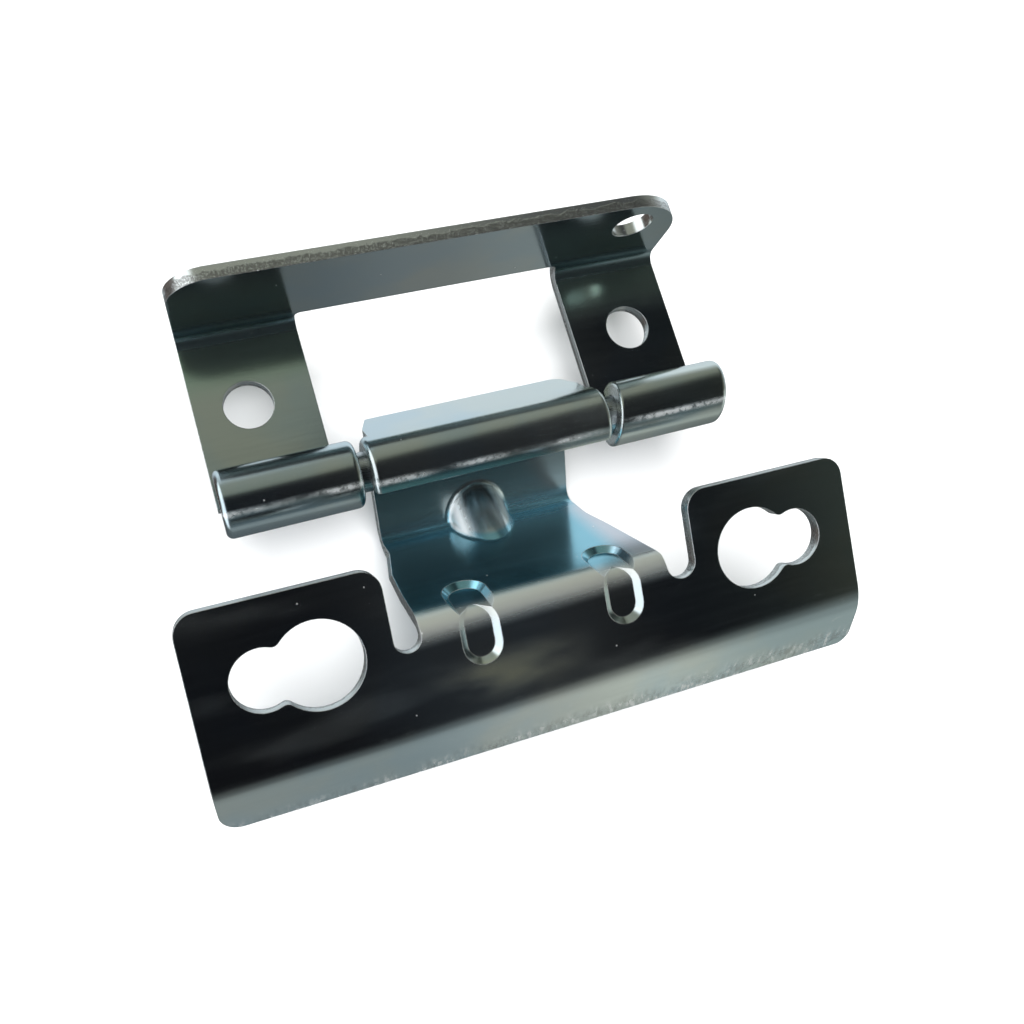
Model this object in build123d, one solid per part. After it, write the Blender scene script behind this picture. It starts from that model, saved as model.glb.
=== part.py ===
# Dryer door hinge: a leaf with two curled knuckles, a leaf with one curled
# knuckle and a keyhole plate, and the pin that joins them.
# X runs along the pin, Z is up, and the legs of the knuckle leaf lie level.
# Profiles are drawn across the pin in (y, z) about the pin axis, and the whole is
# moved to its origin between the leg holes at the end.
import os
from math import cos, hypot, radians, sin, tan

from build123d import *

os.makedirs("parts", exist_ok=True)

# sheet and pin
sheet = 1.6
pinRadius = 2.45
boreRadius = 2.5
curlRadius = boreRadius + sheet
pinEnds = (-31.4, 33.0)
rimRadius = 0.8
smallRim = 0.35

# leaf with the two knuckles
leafHalf = 32.0
windowHalf = 17.5
windowTop = -0.6
windowCorner = 0.8
flangeInnerY = 21.5
flangeTop = 12.5
leftFlangeCorner = 5.0
rightFlangeCorner = 8.0
foldRadius = 1.5
legHoleRadius = 3.0
legHoleX = 25.5
legHoleY = 11.9
flangeHoleRadius = 2.7
flangeHoleZ = 7.75
leftKnuckle = (-31.7, -15.4)
rightKnuckle = (18.05, 33.4)
rightSlant = 12.0
knuckleStart = -22.0
knuckleSweep = 292.0

# leaf with the keyhole plate: leans of its panels, and its slight turn out of square
barrel = (-14.3, 16.6)
barrelStart = -50.0
barrelSweep = 200.0
webLean = 40.0
shelfLean = -57.0
plateLean = 19.0
lipLean = 53.0
leafSkew = -1.1
webLength = 11.75
shelfLength = 22.8
shelfHalf = 14.95
shoulderRadius = 2.0
innerBend = 1.4
outerBend = 1.2
plateShift = 0.3
plateHalf = 39.65
tabInner = 18.3
tabTop = 6.8
tabCorner = 2.4
leftLowCorner = 2.4
rightLowCorner = 1.7
lowFlare = 0.9
lowDrop = 0.5
notchCentre = -1.0
notchFloor = -3.1
plateTop = -2.8
plateBottom = -12.0
plateLow = -18.0
lipLength = 9.8
lipRadius = 6.0
bigKeyRadius = 4.9
smallKeyRadius = 3.45
bigKeyX = 26.3
smallKeyX = 32.1
keyV = -1.8
keyCusp = 0.9

# pressed darts over the shelf edge, rib in the web foot, tail on the curl
dartX = 8.7
dartDepth = 0.7
dartOnPlate = (2.3, 6.6)
dartOnShelf = (2.6, 6.8)
dartBack = 3.2
dartRib = 1.9
dartBend = 2.0
ribX = -0.4
ribRadius = 3.7
ribUp = 5.4
ribOut = 8.0
ribFillet = 0.8
tailLean = 57.0
tailLength = 7.4
tailRoot = (-13.4, 15.3)
tailEnd = (-12.2, 13.9)
tailNeck = 3.5
tailCorners = (0.5, 1.8)


def direction(lean):
    # runs down a panel that leans back by this angle
    return Vector(-cos(radians(lean)), -sin(radians(lean)))


def frontNormal(lean):
    return Vector(-sin(radians(lean)), cos(radians(lean)))


def panelFrame(point, lean):
    # x along the pin, y up the panel, z out of its front
    normal = frontNormal(lean)
    return Plane(origin=(0, point.X, point.Y), x_dir=(1, 0, 0), z_dir=(0, normal.X, normal.Y))


def across(face, x0, x1):
    return extrude(Plane.YZ.offset(x0) * face, amount=x1 - x0)


def polygon(points):
    return make_face(Polyline(*[(p.X, p.Y) for p in points], close=True))


def rounded(face, point, radius):
    corner = min(face.vertices(), key=lambda v: (Vector(v) - point).length)
    return fillet(corner, radius)


def curl(start, sweep, ends, slant=0.0, firstRim=rimRadius):
    # sheet rolled round the pin, its ends slanted and their outer rims rounded
    outer = CenterArc((0, 0), curlRadius, start, sweep)
    inner = CenterArc((0, 0), boreRadius, start, sweep)
    ring = make_face([outer, inner, Line(outer @ 0, inner @ 0), Line(outer @ 1, inner @ 1)])
    roll = across(ring, ends[0] - 2, ends[1] + 2)
    for x, side in ((ends[0], -1), (ends[1], 1)):
        cut = Plane(origin=(x, 0, 0), z_dir=(side, -side * tan(radians(slant)), 0))
        roll = split(roll, cut, keep=Keep.BOTTOM)
    rims = []
    for edge in roll.edges():
        middle = edge @ 0.5
        onOutside = abs(hypot(middle.Y, middle.Z) - curlRadius) < 0.01
        if onOutside and edge.geom_type != GeomType.LINE:
            rims.append(edge)
    first, last = sorted(rims, key=lambda edge: edge.center().X)
    roll = fillet(last, rimRadius)
    return fillet(roll.edges().sort_by_distance(first.center())[0], firstRim)


def stripFace(first, panels, bends):
    # a strip of sheet from its front line: panels are (lean, length), bends are inner radii
    front = [first]
    for lean, length in panels:
        front.append(front[-1] + direction(lean) * length)
    normals = [frontNormal(lean) for lean, length in panels]
    back = [front[0] - normals[0] * sheet]
    for i in range(1, len(panels)):
        a, b = normals[i - 1], normals[i]
        back.append(front[i] - (a + b) * (sheet / (1 + a.dot(b))))
    back.append(front[-1] - normals[-1] * sheet)
    face = polygon(front + back[::-1])
    for i, radius in enumerate(bends, start=1):
        opensForward = panels[i][0] < panels[i - 1][0]
        face = rounded(face, front[i], radius if opensForward else radius + sheet)
        face = rounded(face, back[i], radius + sheet if opensForward else radius)
    return face


def roundBar(start, end, radius, x):
    # a bar with its axis in a plane across the pin
    run = end - start
    frame = Plane(origin=(x, start.X, start.Y), x_dir=(1, 0, 0), z_dir=(0, run.X, run.Y))
    return extrude(frame * Circle(radius), amount=run.length)


def pill(x, radius, near, far):
    # a stadium end: straight from near, round at far
    middle = far - radius if far > 0 else far + radius
    straight = Pos(x, (near + middle) / 2) * Rectangle(2 * radius, abs(middle - near))
    return straight + Pos(x, middle) * Circle(radius)


# leaf with the two knuckles: level legs, upright flange
legBack = -curlRadius
legFront = legBack + sheet
bracket = polygon([
    Vector(0, legBack), Vector(flangeInnerY + sheet, legBack),
    Vector(flangeInnerY + sheet, flangeTop), Vector(flangeInnerY, flangeTop),
    Vector(flangeInnerY, legFront), Vector(0, legFront),
])
bracket = rounded(bracket, Vector(flangeInnerY + sheet, legBack), foldRadius + sheet)
bracket = rounded(bracket, Vector(flangeInnerY, legFront), foldRadius)
knuckleLeaf = across(bracket, -leafHalf, leafHalf)

# window between the legs, round corners on the flange
window = Pos(0, 0, (windowTop - 30) / 2) * Box(2 * windowHalf, 80, windowTop + 30)
knuckleLeaf -= window
leftCorner, rightCorner = knuckleLeaf.edges().filter_by(Axis.Y).group_by(Axis.Z)[-1].sort_by(Axis.X)
knuckleLeaf = fillet(leftCorner, leftFlangeCorner)
rightCorner = knuckleLeaf.edges().filter_by(Axis.Y).group_by(Axis.Z)[-1].sort_by(Axis.X)[-1]
knuckleLeaf = fillet(rightCorner, rightFlangeCorner)
windowEdges = [e for e in knuckleLeaf.edges().filter_by(Axis.Y) if abs(e.center().Z - windowTop) < 0.01]
knuckleLeaf = fillet(windowEdges, windowCorner)

knuckleLeaf += curl(knuckleStart, knuckleSweep, leftKnuckle)
knuckleLeaf += curl(knuckleStart, knuckleSweep, rightKnuckle, rightSlant, smallRim)
for side in (-1, 1):
    knuckleLeaf -= Pos(side * legHoleX, legHoleY, legBack) * Cylinder(legHoleRadius, 4 * sheet)
flangeBore = Pos(legHoleX, flangeInnerY, flangeHoleZ) * Rot(90, 0, 0) * Cylinder(flangeHoleRadius, 4 * sheet)
knuckleLeaf -= flangeBore

# leaf with the keyhole plate: web foot, shelf and the start of the plate in one strip
webTop = frontNormal(webLean) * -boreRadius
webFoot = webTop + direction(webLean) * webLength
shelfEnd = webFoot + direction(shelfLean) * shelfLength
strip = stripFace(
    webFoot - direction(webLean) * 8,
    [(webLean, 8), (shelfLean, shelfLength), (plateLean, 4.5)],
    [innerBend, outerBend],
)
leftNotch = (-shelfHalf, plateShift - tabInner)
rightNotch = (shelfHalf, plateShift + tabInner)
lower = across(strip, sum(leftNotch) / 2, sum(rightNotch) / 2)

# plate, tabs and lip: a bent strip trimmed to its outline
plateFrame = panelFrame(shelfEnd, plateLean)
shelfFrame = panelFrame(shelfEnd, shelfLean)
lipStrip = stripFace(
    shelfEnd - direction(plateLean) * 10,
    [(plateLean, 10 - plateBottom), (lipLean, lipLength)],
    [lipRadius],
)


def outlineSide(side, notch):
    outer = plateShift + side * plateHalf
    middle = sum(notch) / 2
    low = (outer + lowFlare, plateLow - lowDrop) if side > 0 else (outer, plateLow)
    return [
        (middle, plateTop), (middle, notchCentre), (notch[1], notchCentre),
        (notch[1], tabTop), (outer, tabTop), low,
    ]


rightSide = outlineSide(1, rightNotch)
leftSide = outlineSide(-1, leftNotch)
outline = make_face(Polyline(*rightSide, *leftSide[::-1], close=True))
for points, lowCorner in ((rightSide, rightLowCorner), (leftSide, leftLowCorner)):
    for i, radius in ((3, tabCorner), (4, tabCorner), (5, lowCorner)):
        outline = rounded(outline, Vector(*points[i]), radius)
plate = across(lipStrip, -plateHalf - 2, plateHalf + 2)
plate &= extrude(plateFrame * outline, amount=14, both=True)
lower += plate

# notches with round floors between the shelf and the tabs, then the keyholes
for notch in (leftNotch, rightNotch):
    slot = pill(sum(notch) / 2, abs(notch[1] - notch[0]) / 2, 14, notchFloor)
    lower -= extrude(plateFrame * slot, amount=30, both=True)
for side in (-1, 1):
    big = Pos(plateShift + side * bigKeyX, keyV) * Circle(bigKeyRadius)
    small = Pos(plateShift + side * smallKeyX, keyV) * Circle(smallKeyRadius)
    keyhole = extrude(plateFrame.offset(-6) * (big + small), amount=12)
    lower -= fillet(keyhole.edges().filter_by(GeomType.LINE), keyCusp)

# darts pressed in over the shelf edge, each with a small round rib in the corner behind it
shelfNormal = frontNormal(shelfLean)
plateNormal = frontNormal(plateLean)
backCorner = shelfEnd - (shelfNormal + plateNormal) * (sheet / (1 + shelfNormal.dot(plateNormal)))
onShelf = backCorner - direction(shelfLean) * dartBack
onPlate = backCorner + direction(plateLean) * dartBack
chord = (onPlate - onShelf).normalized()
toCorner = (backCorner - (onShelf + onPlate) * 0.5).normalized()
barStart = onShelf + toCorner * dartRib - chord * 4
barEnd = onPlate + toCorner * dartRib + chord * 4
sunk = backCorner + toCorner * 0.6
floorBend = shelfEnd - (shelfNormal + plateNormal) * (dartDepth / (1 + shelfNormal.dot(plateNormal)))
corner = polygon([sunk, sunk - direction(shelfLean) * 9, sunk + direction(plateLean) * 9])
for side in (-1, 1):
    x = plateShift + side * dartX
    lower += roundBar(barStart, barEnd, dartRib, x) & across(corner, x - 5, x + 5)
    for frame, (radius, reach), sense in ((plateFrame, dartOnPlate, -1), (shelfFrame, dartOnShelf, 1)):
        mouth = pill(x, radius + 0.5, -sense * 2.5, sense * (reach + 0.5))
        lower -= extrude(frame.offset(0.5) * mouth, amount=-dartDepth - 0.5, taper=45)
    floorLine = Vector(x, floorBend.X, floorBend.Y)
    lower = fillet(lower.edges().filter_by(Axis.X).sort_by_distance(floorLine)[0], dartBend)

# round rib across the web foot, hollow behind
ribTop = webFoot - direction(webLean) * ribUp
ribFoot = webFoot + direction(shelfLean) * ribOut
slope = (ribFoot - ribTop).normalized()
away = Vector(slope.Y, -slope.X)
if away.dot(frontNormal(webLean)) < 0:
    away = away * -1
ribShift = away * -ribRadius
webUp = webFoot - direction(webLean) * 9
shelfOut = webFoot + direction(shelfLean) * 12
frontWedge = polygon([webFoot, webUp, shelfOut])
backing = polygon([
    webFoot, webUp, webUp - frontNormal(webLean) * 6,
    webFoot - (frontNormal(webLean) + frontNormal(shelfLean)) * 6,
    shelfOut - frontNormal(shelfLean) * 6, shelfOut,
])
start = ribTop + ribShift - slope * 8
end = ribFoot + ribShift + slope * 8
lower += roundBar(start, end, ribRadius, ribX) & across(frontWedge, ribX - 6, ribX + 6)
crest = (ribTop + ribFoot) * 0.5
ribFace = lower.faces().sort_by_distance(Vector(ribX, crest.X, crest.Y))[0]
lower = fillet(ribFace.edges(), ribFillet)
lower -= roundBar(start, end, ribRadius - sheet, ribX) & across(frontWedge + backing, ribX - 6, ribX + 6)

# the strip turned out of square in the plane of the web, and the web above it
turn = Axis((0, webFoot.X, webFoot.Y), (0, frontNormal(webLean).X, frontNormal(webLean).Y))
upperWeb = across(stripFace(webTop, [(webLean, 6)], []), -shelfHalf, shelfHalf)
plateLeaf = upperWeb + lower.rotate(turn, leafSkew)

# web edges and the shoulders where the shelf widens
rightEdge = [(12.5, 10), (12.5, -10.9), (13.3, -13.2), (15.4, -21.2), (17, -21.2), (17, 10)]
leftEdge = [(-13.5, 10), (-13.5, -9.5), (-14.7, -12.8), (-15.3, -21.2), (-17, -21.2), (-17, 10)]
for edge in (rightEdge, leftEdge):
    spare = make_face(Polyline(*edge, close=True))
    spare = rounded(spare, Vector(*edge[1]), shoulderRadius)
    spare = rounded(spare, Vector(*edge[2]), shoulderRadius / 2)
    plateLeaf -= extrude(Plane.XY.offset(-30) * spare, amount=60)

# curl round the pin and the flat tail that stands off it
plateLeaf += curl(barrelStart, barrelSweep, barrel)
tailNormal = Vector(sin(radians(tailLean)), cos(radians(tailLean)))
tailFrame = Plane(
    origin=(0, tailNormal.X * boreRadius, tailNormal.Y * boreRadius),
    x_dir=(1, 0, 0),
    z_dir=(0, tailNormal.X, tailNormal.Y),
)
tailPoints = [
    (tailRoot[0], 0), (tailRoot[0], tailNeck), (tailEnd[0], tailLength),
    (tailEnd[1], tailLength), (tailRoot[1], tailNeck), (tailRoot[1], 0),
]
tail = make_face(Polyline(*tailPoints, close=True))
tail = rounded(tail, Vector(*tailPoints[2]), tailCorners[0])
tail = rounded(tail, Vector(*tailPoints[3]), tailCorners[1])
plateLeaf += extrude(tailFrame * tail, amount=sheet)
plateLeaf -= Rot(0, 90, 0) * Cylinder(boreRadius, 200)

# pin
pin = Pos((pinEnds[0] + pinEnds[1]) / 2, 0, 0) * Rot(0, 90, 0) * Cylinder(pinRadius, pinEnds[1] - pinEnds[0])

# origin midway between the leg holes, on the back of the legs
place = Pos(0, -legHoleY, -legBack)
for name, solid in (("knuckle_leaf", knuckleLeaf), ("plate_leaf", plateLeaf), ("hinge_pin", pin)):
    export_step(place * solid, f"parts/{name}.step")
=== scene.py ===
from math import cos, degrees, radians, sin

import bpy
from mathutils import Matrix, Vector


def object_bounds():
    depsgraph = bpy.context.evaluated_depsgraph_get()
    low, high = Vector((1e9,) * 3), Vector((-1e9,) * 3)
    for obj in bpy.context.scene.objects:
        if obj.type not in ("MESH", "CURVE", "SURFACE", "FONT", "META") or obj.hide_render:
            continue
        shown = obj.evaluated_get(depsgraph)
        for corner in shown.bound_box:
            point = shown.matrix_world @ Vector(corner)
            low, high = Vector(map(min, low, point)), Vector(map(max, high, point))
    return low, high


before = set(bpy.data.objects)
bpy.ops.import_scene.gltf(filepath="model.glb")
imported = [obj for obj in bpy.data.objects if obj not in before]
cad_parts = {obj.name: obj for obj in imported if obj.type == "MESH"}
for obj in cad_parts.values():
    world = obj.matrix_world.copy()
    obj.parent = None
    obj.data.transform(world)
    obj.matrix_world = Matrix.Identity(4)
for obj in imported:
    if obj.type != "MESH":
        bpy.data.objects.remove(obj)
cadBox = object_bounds()
print("frame loaded:", ", ".join(sorted(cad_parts)))

scene = bpy.context.scene
scene.view_settings.view_transform = "Standard"

# camera, from the photo's own perspective
view = {
    "place": (-0.03197, -0.03809, 0.11638),
    "turn": (12.781, -13.531, -17.127),  # degrees
    "lens": 33.878,
    "sensor": 36,
    "nearest": 0.002,
}
bpy.ops.object.select_all(action="DESELECT")
bpy.ops.object.camera_add(location=view["place"], rotation=[radians(a) for a in view["turn"]])
camera = bpy.context.object
camera.name = "photoCamera"
camera.data.lens = view["lens"]
camera.data.sensor_width = view["sensor"]
camera.data.clip_start = view["nearest"]
scene.camera = camera
print("camera set")

# floor under the lowest edge
floorSpec = {"size": 6.0, "gap": 0.0002, "colour": (0.86, 0.865, 0.87, 1), "roughness": 0.9}
bpy.ops.mesh.primitive_plane_add(
    size=floorSpec["size"], location=(0, 0, cadBox[0][2] - floorSpec["gap"])
)
floor = bpy.context.object
floor.name = "floor"
floor.visible_glossy = False  # the metal sees the room instead


# node helpers: a value is a socket or a plain number
class Graph:
    def __init__(self, tree):
        self.nodes, self.links = tree.nodes, tree.links

    def put(self, target, value):
        if isinstance(value, bpy.types.NodeSocket):
            self.links.new(value, target)
        else:
            target.default_value = value

    def calc(self, kind, a, b=0.0):
        node = self.nodes.new("ShaderNodeMath")
        node.operation = kind
        self.put(node.inputs[0], a)
        self.put(node.inputs[1], b)
        return node.outputs[0]

    def rise(self, value, low, high, start=0.0, end=1.0):
        # smooth step from start to end as the value goes from low to high
        node = self.nodes.new("ShaderNodeMapRange")
        node.interpolation_type = "SMOOTHSTEP"
        self.put(node.inputs["Value"], value)
        limits = {"From Min": low, "From Max": high, "To Min": start, "To Max": end}
        for name, number in limits.items():
            node.inputs[name].default_value = number
        return node.outputs["Result"]

    def both(self, *masks):
        product = masks[0]
        for mask in masks[1:]:
            product = self.calc("MULTIPLY", product, mask)
        return product

    def most(self, *masks):
        largest = masks[0]
        for mask in masks[1:]:
            largest = self.calc("MAXIMUM", largest, mask)
        return largest

    def outside(self, mask):
        return self.calc("SUBTRACT", 1.0, mask)

    def away(self, value, centre=0.0):
        return self.calc("ABSOLUTE", self.calc("SUBTRACT", value, centre))

    def reach(self, first, second, line):
        # distance from a line, in the two directions across it
        squares = [
            self.calc("POWER", self.calc("SUBTRACT", a, c), 2.0)
            for a, c in zip((first, second), line)
        ]
        return self.calc("SQRT", self.calc("ADD", *squares))

    def dot(self, a, b):
        node = self.nodes.new("ShaderNodeVectorMath")
        node.operation = "DOT_PRODUCT"
        self.put(node.inputs[0], a)
        self.put(node.inputs[1], b)
        return node.outputs["Value"]

    def split(self, vector):
        node = self.nodes.new("ShaderNodeSeparateXYZ")
        self.links.new(vector, node.inputs[0])
        return list(node.outputs)

    def scaled(self, vector, scale, turn=(0, 0, 0)):
        node = self.nodes.new("ShaderNodeMapping")
        self.links.new(vector, node.inputs["Vector"])
        node.inputs["Scale"].default_value = scale
        node.inputs["Rotation"].default_value = [radians(a) for a in turn]
        return node.outputs["Vector"]

    def millimetres(self, coords):
        return self.scaled(coords.outputs["Object"], (1000, 1000, 1000))

    def noise(self, vector, scale, detail=2.0, roughness=0.5, turn=(0, 0, 0)):
        # scale is one number, or one for each axis
        if isinstance(scale, tuple):
            vector, scale = self.scaled(vector, scale, turn), 1.0
        node = self.nodes.new("ShaderNodeTexNoise")
        self.links.new(vector, node.inputs["Vector"])
        node.inputs["Scale"].default_value = scale
        node.inputs["Detail"].default_value = detail
        node.inputs["Roughness"].default_value = roughness
        return node.outputs["Fac"]

    def mix(self, share, first, second, kind="MIX"):
        node = self.nodes.new("ShaderNodeMix")
        node.data_type = "RGBA"
        node.blend_type = kind
        for name, value in (("Factor", share), ("A", first), ("B", second)):
            self.put([s for s in node.inputs if s.name == name and s.enabled][0], value)
        return [s for s in node.outputs if s.enabled][0]

    def ramp(self, value, stops, low=-1.0, high=1.0):
        # colour along a value, stops given in the value's own units
        spread = self.nodes.new("ShaderNodeMapRange")
        spread.inputs["From Min"].default_value = low
        spread.inputs["From Max"].default_value = high
        self.links.new(value, spread.inputs["Value"])
        band = self.nodes.new("ShaderNodeValToRGB")
        band.color_ramp.interpolation = "EASE"
        elements = band.color_ramp.elements
        while len(elements) < len(stops):
            elements.new(0.5)
        for element, (place, colour) in zip(elements, stops):
            element.position = (place - low) / (high - low)
            element.color = (*colour, 1)
        self.links.new(spread.outputs["Result"], band.inputs["Fac"])
        return band.outputs["Color"]


def newMaterial(name):
    material = bpy.data.materials.new(name)
    material.use_nodes = True
    return material, Graph(material.node_tree), material.node_tree.nodes["Principled BSDF"]


def dress(node, material):
    node.data.materials.clear()
    node.data.materials.append(material)


floorPaint, graph, shader = newMaterial("paleFloor")
shader.inputs["Base Color"].default_value = floorSpec["colour"]
shader.inputs["Roughness"].default_value = floorSpec["roughness"]
floor.data.materials.append(floorPaint)

# bright zinc plate with a blue passivate, shared by both leaves
# a texture is scale per mm, detail, roughness, turn; a band is where its mask starts and is full
zincSpec = {
    "cool": (0.53, 0.64, 0.69, 1),
    "warm": (0.60, 0.665, 0.655, 1),
    "cut": (0.66, 0.70, 0.69, 1),
    "pit": (0.33, 0.34, 0.335, 1),
    # light grey for real wear at edges and chips, also the painted highlight on the curl's line
    # and the rib's flank
    "worn": (0.82, 0.85, 0.86, 1),
    "film": (0.70, 0.74, 0.56, 1),
    "speck": (0.92, 0.93, 0.93, 1),
    "edgeRadius": 0.00015,
    "edgeSamples": 4,
    "edgeBand": (0.999, 0.90),      # cosine between the softened and the true face
    "drift": (0.085, 3.0),
    "driftBand": (0.38, 0.64),
    "streak": ((0.12, 2.4, 2.4), 4.0, 0.6),
    "streakBand": (0.30, 0.72),
    "streakRough": (-0.01, 0.03),
    "peel": (2.6, 4.0, 0.6),
    "blotch": (0.55, 4.0, 0.55),
    "blotchWear": (0.30, 0.55),
    "blotchScratch": (0.55, 0.70),
    "speckScale": 0.42,
    "speckSize": (0.06, 0.02),
    "speckShare": (0.62, 0.66),
    "scratch": ((0.05, 2.2, 2.2), 2.0, 0.4, (17, 9, 24)),
    "scratchWidth": (0.006, 0.001),
    "scratchShare": 0.5,
    "pitBand": (0.60, 0.48),
    "chipBand": (0.68, 0.76),
    "smear": ((0.03, 0.11, 0.11), 3.0, 0.55),
    "smearBand": (0.50, 0.70),
    "bendShare": 0.8,
    "ragged": (1.1, 2.0),           # noise that moves the start of the torn half
    "faceOn": (0.90, 0.97),         # part of the normal that points along an axis
    "edgeOn": (0.14, 0.06),
    "pinLine": (-11.9, 4.1),        # y and z of the pin, mm
    "curlReach": (4.35, 4.2),       # from the pin, mm
    "lineWidth": 8.5,               # degrees each way
    "lineAlong": ((0.13, 0.3, 0.3), 2.0, 0.5),
    "lineAlongBand": (0.34, 0.64),
    "lineFine": (1.6, 3.0, 0.6),
    "lineFineBand": (0.20, 0.60),
    "peelHeight": 1.6,              # heights in micrometres
    "streakHeight": (0.35, 1.5),    # on flat sheet, on a curl
    "tornHeight": 30.0,
    "scratchHeight": -1.5,
    "rubHeight": 60.0,
    "layers": {  # what each zone adds to the roughness and takes from the metal share
        "cut": (0.06, 0.03),
        "torn": (0.06, 0.0),
        "chips": (0.0, 0.04),
        "edge": (0.10, 0.06),
        "speck": (0.30, 0.15),
        # line and flank take metal to show a painted highlight
        "line": (0.10, 0.31),
        "rub": (0.14, 0.03),
        "shine": (0.05, 0.10),
        "flank": (0.12, 0.55),
        "film": (0.03, 0.05),
    },
}


def zincFinish(name, spec, leafZones):
    material, graph, shader = newMaterial(name)
    nodes, links = graph.nodes, graph.links
    coords = nodes.new("ShaderNodeTexCoord")
    place = graph.millimetres(coords)
    zones = leafZones(graph, place, coords.outputs["Normal"], spec)

    # softened edges, and how far they turn from the true face
    soft = nodes.new("ShaderNodeBevel")
    soft.samples = spec["edgeSamples"]
    soft.inputs["Radius"].default_value = spec["edgeRadius"]
    geometry = nodes.new("ShaderNodeNewGeometry")
    turned = graph.dot(soft.outputs[0], geometry.outputs["Normal"])
    edge = zones["edge"] = graph.rise(turned, *spec["edgeBand"])

    # drift of the passivate, rolled streaks, fine peel, specks and hairline scratches
    drift = graph.rise(graph.noise(place, *spec["drift"]), *spec["driftBand"])
    streak = graph.noise(place, *spec["streak"])
    peel = graph.noise(place, *spec["peel"])
    blotch = graph.noise(place, *spec["blotch"])
    dots = nodes.new("ShaderNodeTexVoronoi")
    links.new(place, dots.inputs["Vector"])
    dots.inputs["Scale"].default_value = spec["speckScale"]
    kept = graph.rise(graph.split(dots.outputs["Color"])[0], *spec["speckShare"])
    speck = graph.both(graph.rise(dots.outputs["Distance"], *spec["speckSize"]), kept)
    zones["speck"] = speck
    scratch = graph.away(graph.noise(place, *spec["scratch"]), 0.5)
    scratch = graph.both(
        graph.rise(scratch, *spec["scratchWidth"]), graph.rise(blotch, *spec["blotchScratch"])
    )

    # torn grain of a sheared face and of the rubbed lip
    torn = zones["torn"] = graph.both(zones["cut"], zones["torn"])
    grain = graph.noise(place, *spec["grain"])
    dark = graph.both(torn, graph.rise(grain, *spec["pitBand"]))
    bright = zones["chips"] = graph.both(torn, graph.rise(grain, *spec["chipBand"]))
    if "rub" in zones:
        ticks = graph.noise(place, *spec["tick"])
        nick = graph.both(zones["rub"], graph.rise(ticks, *spec["nickBand"]), spec["nickShare"])
        shine = zones["shine"] = graph.both(zones["rub"], graph.rise(ticks, *spec["shineBand"]))
        bright, dark = graph.most(bright, shine), graph.most(dark, nick)
    smear = graph.rise(graph.noise(place, *spec["smear"]), *spec["smearBand"])

    colour = graph.mix(drift, spec["cool"], spec["warm"])
    # painted reflection in the sheen zones, and painted light and shade at the bends: dark in the
    # knuckle leaf's fold, light on the plate's ridge
    colour = graph.mix(zones["haze"], colour, zones["paintedSheenColour"])
    colour = graph.mix(graph.both(zones["bend"], spec["bendShare"]), colour, spec["bend"])
    # painted highlights on the curl's line and the rib's flank, then the film and the sheared
    # faces
    for zone, paint in (("line", "worn"), ("flank", "worn"), ("film", "film"), ("cut", "cut")):
        if zone in zones:
            colour = graph.mix(zones[zone], colour, spec[paint])
    wear = graph.both(edge, graph.rise(blotch, *spec["blotchWear"]))
    colour = graph.mix(graph.most(wear, bright), colour, spec["worn"])
    colour = graph.mix(dark, colour, spec["pit"])
    flecks = graph.most(speck, graph.both(scratch, spec["scratchShare"]))
    colour = graph.mix(flecks, colour, spec["speck"])
    links.new(colour, shader.inputs["Base Color"])

    smooth, dull = (spec["roughness"] + change for change in spec["streakRough"])
    rough = graph.rise(streak, *spec["streakBand"], smooth, dull)
    metal = graph.outside(graph.both(smear, spec["smearShare"]))
    # the sheen, glow, line and flank layers take metal to show painted light
    for zone, (duller, greyer) in spec["layers"].items():
        if zone in zones:
            rough = graph.calc("ADD", rough, graph.both(zones[zone], duller))
            metal = graph.calc("SUBTRACT", metal, graph.both(zones[zone], greyer))
    links.new(rough, shader.inputs["Roughness"])
    links.new(metal, shader.inputs["Metallic"])

    relief = [
        (streak, graph.rise(zones["curl"], 0.0, 1.0, *spec["streakHeight"])),
        (torn, grain, spec["tornHeight"]),
        (scratch, spec["scratchHeight"]),
    ]
    if "rub" in zones:
        relief.append((zones["rub"], ticks, spec["rubHeight"]))
    height = graph.both(peel, spec["peelHeight"])
    for parts in relief:
        height = graph.calc("ADD", height, graph.both(*parts))
    bump = nodes.new("ShaderNodeBump")
    bump.inputs["Distance"].default_value = 0.000001  # one micrometre
    links.new(height, bump.inputs["Height"])
    links.new(soft.outputs[0], bump.inputs["Normal"])
    links.new(bump.outputs["Normal"], shader.inputs["Normal"])
    return material


def curlZones(graph, place, at, spec):
    # the curl, and a bright broken line along it, a painted highlight
    pinY, pinZ = spec["pinLine"]
    curl = graph.rise(graph.reach(at[1], at[2], spec["pinLine"]), *spec["curlReach"])
    up, back = graph.calc("SUBTRACT", at[2], pinZ), graph.calc("SUBTRACT", at[1], pinY)
    off = graph.away(graph.calc("ARCTAN2", up, back), radians(spec["lineTurn"]))
    line = graph.both(
        graph.rise(off, radians(spec["lineWidth"]), 0.0),
        curl,
        graph.rise(graph.noise(place, *spec["lineAlong"]), *spec["lineAlongBand"]),
        graph.rise(graph.noise(place, *spec["lineFine"]), *spec["lineFineBand"]),
    )
    return {"curl": curl, "line": line}


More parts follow.
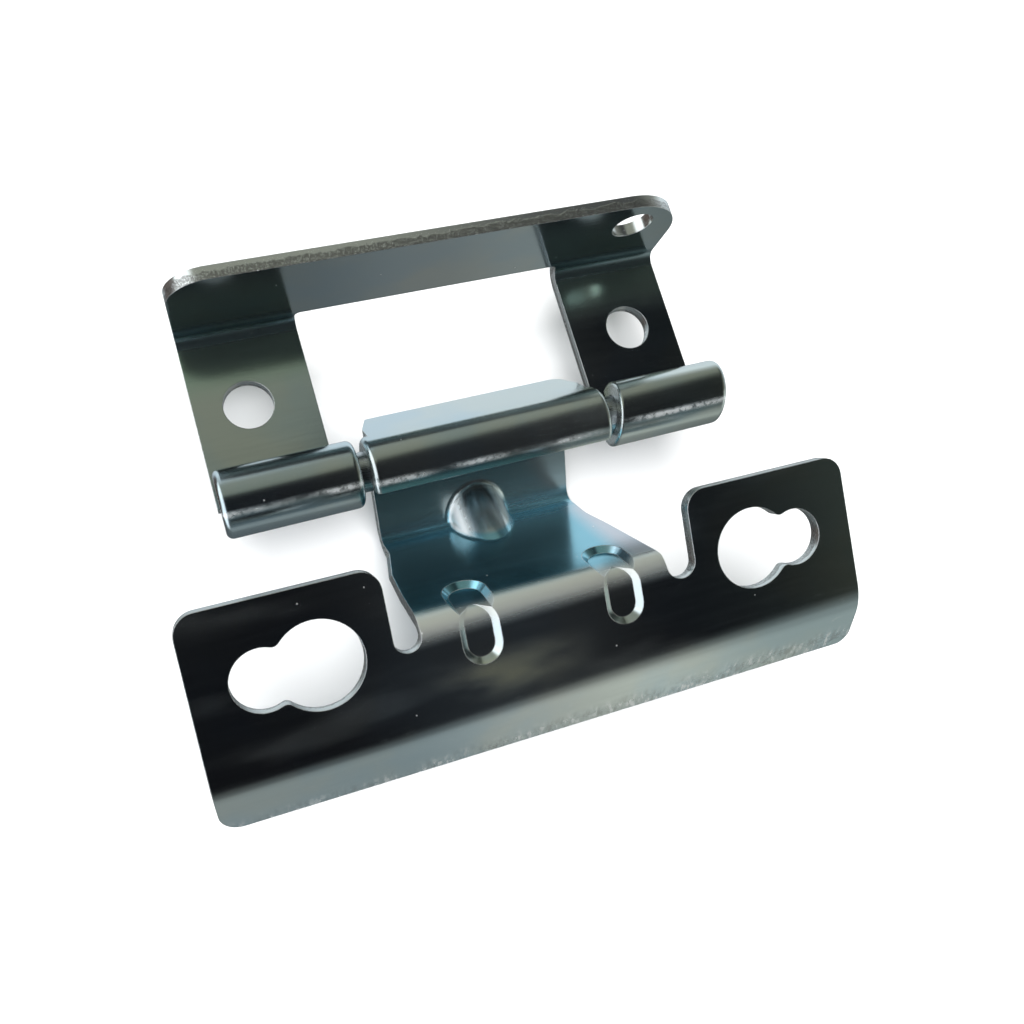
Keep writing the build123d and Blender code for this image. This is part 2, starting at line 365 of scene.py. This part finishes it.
# leaf with the two knuckles; places in mm
knuckleSpec = dict(
    zincSpec,
    roughness=0.12,
    # painted reflection on the legs near the fold, and painted shade in the fold itself
    haze=(0.46, 0.62, 0.54, 1),
    bend=(0.20, 0.28, 0.32, 1),
    smearShare=0.003,
    grain=((6.0, 4.0, 6.0), 4.0, 0.65),
    lineTurn=122.0,             # degrees round the pin
    flangeFrom=(9.5, 9.55),     # y
    rimTorn=(11.15, 10.95),     # y, with the ragged noise on top
    flangeHole=(25.5, 11.85),   # x and z
    holeEdge=(2.8, 2.9),
    legTop=(1.68, 1.64),        # z
    legTorn=(0.8, 0.5),
    hazeY=(0.5, 5.5),
    hazeZ=(2.6, 1.7),
    foldY=(7.6, 8.6),
    foldZ=(4.0, 3.0),
    layers=dict(zincSpec["layers"], haze=(0.05, 0.019), bend=(0.12, 0.0), curl=(0.09, 0.0)),
)


def knuckleZones(graph, place, normal, spec):
    at, facing = graph.split(place), [graph.away(part) for part in graph.split(normal)]
    side = graph.rise(facing[0], *spec["faceOn"])
    rim = graph.both(
        graph.rise(facing[1], *spec["edgeOn"]), graph.rise(at[1], *spec["flangeFrom"])
    )
    wall = graph.both(graph.rise(facing[2], *spec["edgeOn"]), graph.rise(at[2], *spec["legTop"]))

    # torn half of the rims; the flange hole has a smooth wall
    ragged = graph.calc("ADD", at[1], graph.noise(place, *spec["ragged"]))
    fromHole = graph.reach(at[0], at[2], spec["flangeHole"])
    rimTorn = graph.both(
        rim, graph.rise(ragged, *spec["rimTorn"]), graph.rise(fromHole, *spec["holeEdge"])
    )
    legTorn = graph.both(wall, graph.rise(at[2], *spec["legTorn"]))
    return {
        "cut": graph.most(side, rim, wall),
        "torn": graph.most(rimTorn, legTorn),
        # painted reflection on the legs' upper part, painted shade in the fold between flange and
        # legs
        "haze": graph.both(graph.rise(at[1], *spec["hazeY"]), graph.rise(at[2], *spec["hazeZ"])),
        "paintedSheenColour": spec["haze"],
        "bend": graph.both(graph.rise(at[1], *spec["foldY"]), graph.rise(at[2], *spec["foldZ"])),
        **curlZones(graph, place, at, spec),
    }


knuckleZinc = zincFinish("zincKnuckleLeaf", knuckleSpec, knuckleZones)
dress(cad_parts["knuckle_leaf"], knuckleZinc)
print("knuckle leaf dressed")

# leaf with the keyhole plate; places in mm
plateSpec = dict(
    zincSpec,
    roughness=0.155,
    # painted reflection on the web and shelf, neutral on the web and a pale painted flare on the
    # shelf's side; a painted highlight on the ridge
    haze=(0.27, 0.575, 0.70, 1),
    hazeWeb=(0.58, 0.665, 0.67, 1),
    hazeSide=(0.64, 0.67, 0.73, 1),
    bend=(0.74, 0.76, 0.70, 1),
    smearShare=0.016,
    grain=((6.0, 5.0, 5.0), 4.0, 0.65),
    tick=((1.5, 0.55, 0.55), 3.0, 0.6),
    nickBand=(0.47, 0.40),
    nickShare=0.45,
    shineBand=(0.54, 0.64),
    edgeOn=(0.13, 0.06),
    lineTurn=129.0,             # degrees round the pin
    plateLean=19.0,             # leans in degrees
    webLean=40.0,
    shelfLean=-57.0,
    ridgeLine=(-31.7, 13.75),   # y and z
    ridgeReach=(3.1, 0.9),
    footLine=(-19.3, -5.4),
    rimFrom=(-24.0, -24.8),     # y
    rimTorn=(-0.2, -0.5),       # from the front face, with the ragged noise on top
    shelfSide=(16.8, 15.6),     # x either way
    hazeReach=(4.3, 6.0),       # from the pin
    hazeLow=(-31.9, -30.1),     # y
    hazeHigh=(-8.0, -9.5),
    webFrom=(-18.8, -17.5),
    sideX=(9.5, 13.0),
    sideY=(-19.5, -22.0),
    glowReach=(13.0, 0.5),      # from the foot of the web
    glowFoot=(2.0, 0.8),
    glowWeb=0.35,
    glowX=(-15.0, 9.0, 0.30, 1.0),  # x, then the strength there
    filmPlace=(-6.0, -39.3),    # x and y
    filmX=(12.0, 1.0),
    filmY=(3.4, 0.6),
    filmNoise=((0.10, 0.3, 0.3), 2.0),
    filmBand=(0.28, 0.72),
    ribOff=(0.6, 1.1),          # off both panels
    ribReach=(9.0, 7.0),
    flankX=(7.0, 6.0),
    flankReach=(10.0, 8.0),
    leftFlank=(-0.46, -0.86),   # x of the normal
    rightFlank=(0.40, 0.90, 0.0, 0.25),  # the weaker one
    lipRub=(-45.7, -47.6),      # y
    rubNoise=(0.35, 3.0),
    rubBand=(0.30, 0.50),
    layers=dict(
        zincSpec["layers"],
        haze=(0.03, 0.010),
        bend=(0.20, 0.125),
        curl=(0.055, 0.0),
        glow=(0.08, 0.07),
    ),
)


def offPanel(graph, place, lean, line):
    # height above the front of a leaning panel through a line along x
    away = (0, -sin(radians(lean)), cos(radians(lean)))
    return graph.calc("SUBTRACT", graph.dot(place, away), away[1] * line[0] + away[2] * line[1])


def plateZones(graph, place, normal, spec):
    at, facing = graph.split(place), graph.split(normal)
    wide = graph.away(at[0])
    lean = radians(spec["plateLean"])
    side = graph.rise(graph.away(facing[0]), *spec["faceOn"])
    across = graph.away(graph.dot(normal, (0, -sin(lean), cos(lean))))
    rim = graph.both(graph.rise(across, *spec["edgeOn"]), graph.rise(at[1], *spec["rimFrom"]))
    depth = offPanel(graph, place, spec["plateLean"], spec["ridgeLine"])
    ragged = graph.calc("ADD", depth, graph.noise(place, *spec["ragged"]))

    # painted reflection makes the web and shelf bluer than the plate and the curl, with a pale
    # painted flare on the shelf's right side and a painted glow at the foot of the web
    inside = graph.rise(wide, *spec["shelfSide"])
    haze = graph.both(
        graph.rise(graph.reach(at[1], at[2], spec["pinLine"]), *spec["hazeReach"]),
        graph.rise(at[1], *spec["hazeLow"]),
        graph.rise(at[1], *spec["hazeHigh"]),
        inside,
    )
    onWeb = graph.rise(at[1], *spec["webFrom"])
    paintedFlareSide = graph.both(graph.rise(at[0], *spec["sideX"]), graph.rise(at[1], *spec["sideY"]))
    paintedSheenColour = graph.mix(onWeb, spec["haze"], spec["hazeWeb"])
    fromFoot = graph.reach(at[1], at[2], spec["footLine"])
    weaker = graph.rise(onWeb, 0.0, 1.0, 1.0, spec["glowWeb"])
    glow = graph.both(
        haze,
        graph.rise(fromFoot, *spec["glowReach"]),
        graph.rise(at[0], *spec["glowX"]),
        graph.most(weaker, graph.rise(fromFoot, *spec["glowFoot"])),
    )

    # faint film below the left dart
    filmX, filmY = spec["filmPlace"]
    film = graph.both(
        graph.rise(graph.away(at[0], filmX), *spec["filmX"]),
        graph.rise(graph.away(at[1], filmY), *spec["filmY"]),
        graph.rise(graph.noise(place, *spec["filmNoise"]), *spec["filmBand"]),
    )

    # the rib stands off both panels of the corner; a painted highlight lies on its left flank,
    # weaker on its right
    offWeb, offShelf = (
        offPanel(graph, place, spec[panel], spec["footLine"]) for panel in ("webLean", "shelfLean")
    )
    rib = graph.both(
        inside,
        graph.rise(graph.calc("MINIMUM", offWeb, offShelf), *spec["ribOff"]),
        graph.rise(fromFoot, *spec["ribReach"]),
    )
    flank = graph.both(
        graph.rise(wide, *spec["flankX"]),
        graph.rise(fromFoot, *spec["flankReach"]),
        graph.most(
            graph.rise(facing[0], *spec["leftFlank"]), graph.rise(facing[0], *spec["rightFlank"])
        ),
    )

    # the ridge is stretched and rougher, with a painted highlight that makes it greyer and
    # lighter; the lip's low edge is rubbed
    fromRidge = graph.reach(at[1], at[2], spec["ridgeLine"])
    rubbed = graph.rise(graph.noise(place, *spec["rubNoise"]), *spec["rubBand"])
    return {
        "cut": graph.most(side, rim),
        "torn": graph.both(rim, graph.rise(ragged, *spec["rimTorn"])),
        "haze": graph.both(haze, graph.outside(rib)),
        "paintedSheenColour": graph.mix(paintedFlareSide, paintedSheenColour, spec["hazeSide"]),
        "glow": glow,
        "film": film,
        "flank": flank,
        "bend": graph.both(graph.rise(fromRidge, *spec["ridgeReach"]), inside),
        "rub": graph.both(graph.rise(at[1], *spec["lipRub"]), rubbed),
        **curlZones(graph, place, at, spec),
    }


plateZinc = zincFinish("zincPlateLeaf", plateSpec, plateZones)
dress(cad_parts["plate_leaf"], plateZinc)
print("plate leaf dressed")

# drawn pin, seen in the gaps between the knuckles
pinSpec = {
    "colour": (0.50, 0.54, 0.56, 1),
    "dull": (0.30, 0.33, 0.35, 1),
    "stain": (0.5, 3.0),
    "stainBand": (0.40, 0.65),
    "lines": ((0.06, 5.0, 5.0), 4.0, 0.6),
    "linesBand": (0.3, 0.7),
    "roughness": (0.22, 0.38),
    "lineHeight": 0.000003,
}
pinFinish, graph, shader = newMaterial("drawnPin")
place = graph.millimetres(graph.nodes.new("ShaderNodeTexCoord"))
lines = graph.noise(place, *pinSpec["lines"])
stain = graph.rise(graph.noise(place, *pinSpec["stain"]), *pinSpec["stainBand"])
colour = graph.mix(stain, pinSpec["colour"], pinSpec["dull"])
graph.links.new(colour, shader.inputs["Base Color"])
roughness = graph.rise(lines, *pinSpec["linesBand"], *pinSpec["roughness"])
graph.links.new(roughness, shader.inputs["Roughness"])
shader.inputs["Metallic"].default_value = 1.0
bump = graph.nodes.new("ShaderNodeBump")
bump.inputs["Distance"].default_value = pinSpec["lineHeight"]
graph.links.new(lines, bump.inputs["Height"])
graph.links.new(bump.outputs["Normal"], shader.inputs["Normal"])
dress(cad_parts["hinge_pin"], pinFinish)
print("pin dressed")

# soft studio light: a dark room in front, a pale wall behind, a white screen at the left
# colours stand along a direction's own x, y or z, from -1 to 1, apart from the ground's
room = {
    "backdrop": (0.93, 0.935, 0.94, 1),
    "sky": [  # by y, front to back
        (-1.0, (0.006, 0.006, 0.008)),
        (0.00, (0.008, 0.009, 0.011)),
        (0.12, (0.035, 0.037, 0.035)),
        (0.27, (0.28, 0.29, 0.235)),
        (0.75, (0.31, 0.32, 0.27)),
        (1.00, (0.70, 0.77, 0.80)),
    ],
    "skyTurn": 1.2,           # moves the sky's bands back towards the right
    "rightFrom": 0.08,
    "ceiling": [  # by x, added to the sky
        (-1.0, (0, 0, 0)),
        (0.08, (0, 0, 0)),
        (0.20, (0.022, 0.023, 0.024)),
        (0.32, (0.022, 0.023, 0.024)),
        (0.41, (0, 0, 0)),
        (0.50, (0.005, 0.006, 0.005)),
        (0.62, (0.05, 0.055, 0.04)),
        (1.00, (0.25, 0.25, 0.22)),
    ],
    "ground": [  # degrees round the pin line, from the front horizon through straight down
        (-180, (0.38, 0.40, 0.38)),
        (-167, (0.50, 0.53, 0.50)),
        (-158, (0.50, 0.53, 0.50)),
        (-150, (0.26, 0.28, 0.27)),
        (-115, (0.20, 0.22, 0.22)),
        (-80, (0.17, 0.19, 0.20)),
        (-42, (0.80, 0.88, 0.93)),
        (0, (1.00, 1.08, 1.12)),
    ],
    "lowest": -0.001,         # keeps the ground's angle below the horizon
    "groundSide": [  # by x, times the ground in front
        (-1.00, (0.6, 0.6, 0.6)),
        (-0.05, (0.68, 0.69, 0.72)),
        (0.12, (0.65, 0.67, 0.70)),
        (0.25, (1.05, 1.0, 0.98)),
        (0.36, (1.35, 1.3, 1.25)),
        (0.50, (0.85, 0.87, 0.85)),
        (0.70, (1.0, 1.0, 1.0)),
        (0.88, (2.0, 2.0, 2.0)),
        (1.00, (2.2, 2.2, 2.2)),
    ],
    "sideFade": (-0.2, 0.3),
    "horizon": [  # by z, share of the sky
        (-1.00, (0, 0, 0)),
        (-0.16, (0, 0, 0)),
        (0.05, (0.6, 0.6, 0.6)),
        (0.24, (1, 1, 1)),
        (1.00, (1, 1, 1)),
    ],
    "horizonTurn": 0.55,      # lifts the horizon towards the right, in front
    "horizonFade": (0.0, -0.4),
    "frontFade": (0.05, -0.25),
    "leftGround": (0.10, 0.075, 0.065, 1),
    "leftFade": (-0.35, -0.6),
    "lowFade": (0.1, -0.05),
    "leftScreen": [  # by x
        (-1.00, (1.5, 1.53, 1.6)),
        (-0.66, (1.4, 1.43, 1.5)),
        (-0.46, (0.05, 0.05, 0.05)),
        (-0.36, (0, 0, 0)),
        (1.00, (0, 0, 0)),
    ],
    "screenFoot": (0.02, 0.14),
    "frontFoot": (-0.4, -0.2),
}
world = bpy.data.worlds.new("studio")
scene.world = world
world.use_nodes = True
graph = Graph(world.node_tree)
toX, toY, toZ = graph.split(graph.nodes.new("ShaderNodeTexCoord").outputs["Generated"])
rightward = graph.most(graph.calc("SUBTRACT", toX, room["rightFrom"]), 0.0)
turned = graph.calc("SUBTRACT", toY, graph.both(rightward, room["skyTurn"]))
sky = graph.ramp(turned, room["sky"])
sky = graph.mix(1.0, sky, graph.ramp(toX, room["ceiling"]), "ADD")

downward = graph.calc("MINIMUM", toZ, room["lowest"])
below = graph.both(graph.calc("ARCTAN2", downward, toY), degrees(1))
ground = graph.ramp(below, room["ground"], -180, 0)
groundSide = graph.ramp(toX, room["groundSide"])
groundSide = graph.mix(graph.rise(toY, *room["sideFade"]), groundSide, (1, 1, 1, 1))
ground = graph.mix(1.0, ground, groundSide, "MULTIPLY")

lift = graph.both(rightward, room["horizonTurn"], graph.rise(toY, *room["horizonFade"]))
skyShare = graph.ramp(graph.calc("SUBTRACT", toZ, lift), room["horizon"])
light = graph.mix(skyShare, ground, sky)

# dark ground behind at the left, and the screen above it
toFront = graph.rise(toY, *room["frontFade"])
lowLeft = graph.both(
    graph.rise(toX, *room["leftFade"]), graph.rise(toZ, *room["lowFade"]), graph.outside(toFront)
)
light = graph.mix(lowLeft, light, room["leftGround"])
inFront = graph.both(toFront, graph.rise(toZ, *room["frontFoot"]))
screen = graph.most(graph.rise(toZ, *room["screenFoot"]), inFront)
screenLit = graph.mix(1.0, light, graph.ramp(toX, room["leftScreen"]), "ADD")
light = graph.mix(screen, light, screenLit)

# plain where it is seen past the floor
seen = graph.nodes.new("ShaderNodeLightPath").outputs["Is Camera Ray"]
light = graph.mix(seen, light, room["backdrop"])
graph.links.new(light, world.node_tree.nodes["Background"].inputs["Color"])
print("room light set")

softbox = {"height": 0.9, "size": 1.2, "watts": 22.0}
bpy.ops.object.light_add(type="AREA", location=(0, 0, softbox["height"]))
lamp = bpy.context.object
lamp.name = "topSoftbox"
lamp.data.shape = "SQUARE"
lamp.data.size = softbox["size"]
lamp.data.energy = softbox["watts"]
lamp.visible_glossy = False  # not seen in the metal
print("softbox set")
